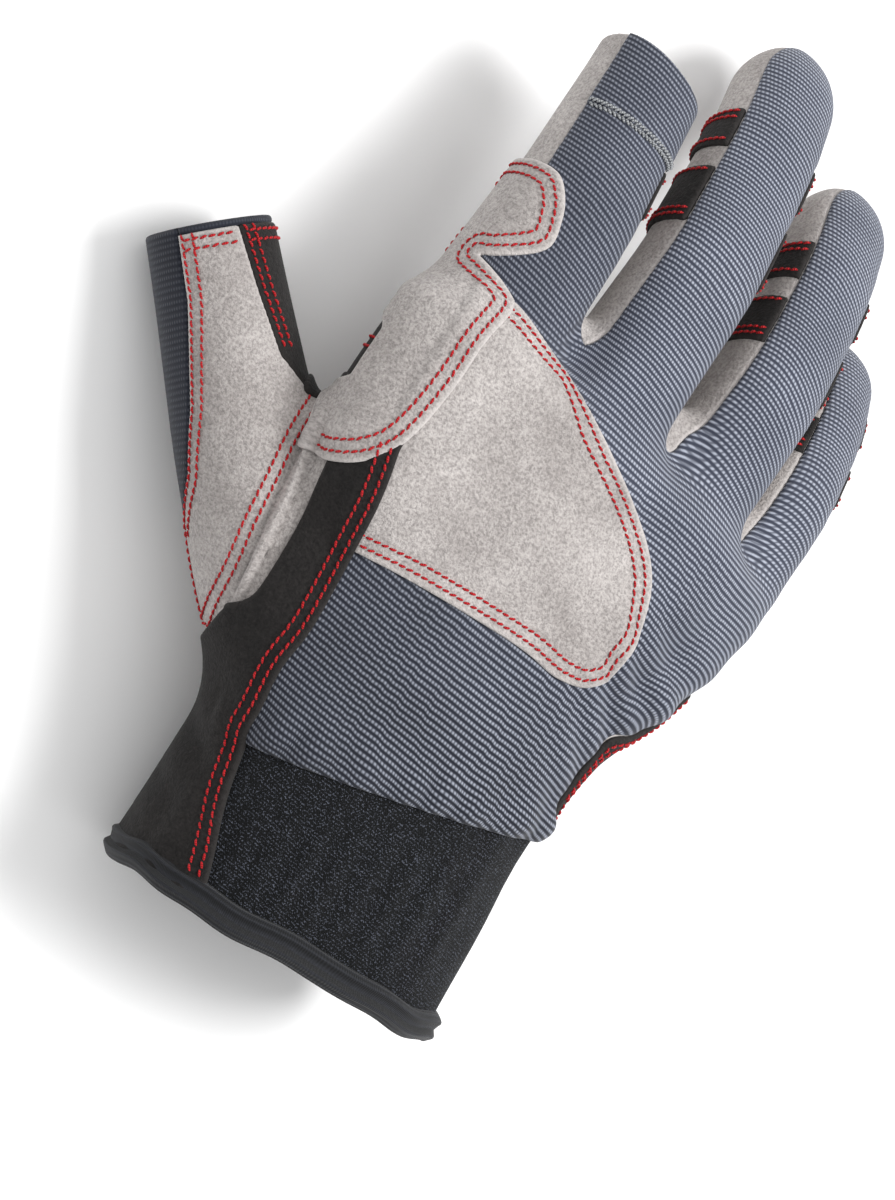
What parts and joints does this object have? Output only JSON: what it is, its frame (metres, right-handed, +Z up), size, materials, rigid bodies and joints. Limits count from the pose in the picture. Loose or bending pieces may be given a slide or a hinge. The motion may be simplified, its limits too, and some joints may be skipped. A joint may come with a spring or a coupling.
{
  "type": "sailing glove",
  "caption": "Right-hand sailing glove with suede palm and knuckle patch, ribbed stretch back, open thumb and index tips, and a wrist tab.",
  "frame": {"origin": "middle of the bounding box's underside, on the plane the glove lies on, palm down", "axes": "+Y towards the fingertips, +X towards the little finger's side, +Z up, away from the back of the hand"},
  "size_m": [0.1594, 0.2058, 0.06],
  "materials": {
    "ribbed_stretch": "transverse ribs of light thread over dark navy, matt",
    "grey_suede": "light grey synthetic suede, short nap, matt",
    "black_suede": "black synthetic suede, matt",
    "neoprene": "fine black knit over foam, matt",
    "binding": "black ribbed elastic binding, matt",
    "hook_and_loop": "black hook and loop tape, slightly glossy"
  },
  "bodies": {
    "hand": {"back_panel": "ribbed_stretch", "side_strip": "black_suede", "palm_panel": "grey_suede", "thenar_panel": "grey_suede", "cuff_back": "neoprene", "cuff_front": "neoprene", "cuff_binding": "binding", "knuckle_patch_lower": "grey_suede", "palm_patch": "black_suede", "ulnar_patch": "black_suede", "wrist_loop_pad": "hook_and_loop"},
    "knuckles": {"knuckle_patch_upper": "grey_suede", "index_root_back": "ribbed_stretch", "index_root_front": "grey_suede", "middle_root_back": "ribbed_stretch", "middle_root_front": "grey_suede", "ring_root_back": "ribbed_stretch", "ring_root_front": "grey_suede", "little_root_back": "ribbed_stretch", "little_root_front": "grey_suede"},
    "wrist_tab": {"wrist_hook_pad": "hook_and_loop", "wrist_tab": "neoprene", "wrist_tab_pull": "binding"},
    "index_end": {"index_tip_back": "ribbed_stretch", "index_tip_front": "grey_suede", "index_tip_grip_band": "black_suede", "index_hem": "ribbed_stretch"},
    "middle_middle": {"middle_mid_back": "ribbed_stretch", "middle_mid_front": "grey_suede", "middle_mid_grip_band": "black_suede"},
    "middle_tip": {"middle_tip_back": "ribbed_stretch", "middle_tip_front": "grey_suede", "middle_tip_grip_band": "black_suede"},
    "ring_middle": {"ring_mid_back": "ribbed_stretch", "ring_mid_front": "grey_suede", "ring_mid_grip_band": "black_suede"},
    "ring_tip": {"ring_tip_back": "ribbed_stretch", "ring_tip_front": "grey_suede", "ring_tip_grip_band": "black_suede"},
    "little_middle": {"little_mid_back": "ribbed_stretch", "little_mid_front": "grey_suede", "little_mid_grip_band": "black_suede"},
    "little_tip": {"little_tip_back": "ribbed_stretch", "little_tip_front": "grey_suede", "little_tip_grip_band": "black_suede"},
    "thumb_first": {"thumb_root_back": "ribbed_stretch", "thumb_root_front": "grey_suede"},
    "thumb_end": {"thumb_tip_back": "ribbed_stretch", "thumb_tip_front": "grey_suede", "thumb_hem": "ribbed_stretch"}
  },
  "joints": [
    {"name": "knuckle_fold", "type": "hinge", "parent": "hand", "child": "knuckles", "pos_m": [0.01335, -0.00297, 0.04119], "axis": [-0.9816, 0.1909, 0.0054], "range_deg": [-12, 55]},
    {"name": "index_pip", "type": "hinge", "parent": "knuckles", "child": "index_end", "pos_m": [-0.01854, 0.04863, 0.03778], "axis": [-0.9925, 0.1222, 0.0003], "range_deg": [-9, 62]},
    {"name": "middle_pip", "type": "hinge", "parent": "knuckles", "child": "middle_middle", "pos_m": [0.01456, 0.05167, 0.03771], "axis": [-0.9848, 0.1738, 0.0042], "range_deg": [-12, 62]},
    {"name": "middle_dip", "type": "hinge", "parent": "middle_middle", "child": "middle_tip", "pos_m": [0.01943, 0.07947, 0.02756], "axis": [-0.9848, 0.1738, 0.0042], "range_deg": [-7.5, 37.5]},
    {"name": "ring_pip", "type": "hinge", "parent": "knuckles", "child": "ring_middle", "pos_m": [0.04054, 0.04123, 0.0345], "axis": [-0.9743, 0.225, 0.008], "range_deg": [-13, 62]},
    {"name": "ring_dip", "type": "hinge", "parent": "ring_middle", "child": "ring_tip", "pos_m": [0.04601, 0.06533, 0.02361], "axis": [-0.9743, 0.225, 0.008], "range_deg": [-8.1, 37.5]},
    {"name": "little_pip", "type": "hinge", "parent": "knuckles", "child": "little_middle", "pos_m": [0.06191, 0.02391, 0.02892], "axis": [-0.9612, 0.2755, 0.0118], "range_deg": [-15, 62]},
    {"name": "little_dip", "type": "hinge", "parent": "little_middle", "child": "little_tip", "pos_m": [0.06704, 0.04229, 0.01798], "axis": [-0.9612, 0.2755, 0.0118], "range_deg": [-9.3, 37.5]},
    {"name": "thumb_mcp", "type": "hinge", "parent": "hand", "child": "thumb_first", "pos_m": [-0.04512, -0.02134, 0.02369], "axis": [0.055, 0.3634, 0.93], "range_deg": [-20, 10]},
    {"name": "thumb_ip", "type": "hinge", "parent": "thumb_first", "child": "thumb_end", "pos_m": [-0.06159, 0.00006, 0.0163], "axis": [0.055, 0.3634, 0.93], "range_deg": [-40, 12]},
    {"name": "wrist_tab_open", "type": "hinge", "parent": "hand", "child": "wrist_tab", "pos_m": [-0.02833, -0.08071, 0.02108], "axis": [0, 0.9973, 0.0732], "range_deg": [0, 100]}
  ],
  "couplings": [
    {"joint": "middle_dip", "follows": "middle_pip", "ratio": 0.6},
    {"joint": "ring_dip", "follows": "ring_pip", "ratio": 0.6},
    {"joint": "little_dip", "follows": "little_pip", "ratio": 0.6}
  ]
}
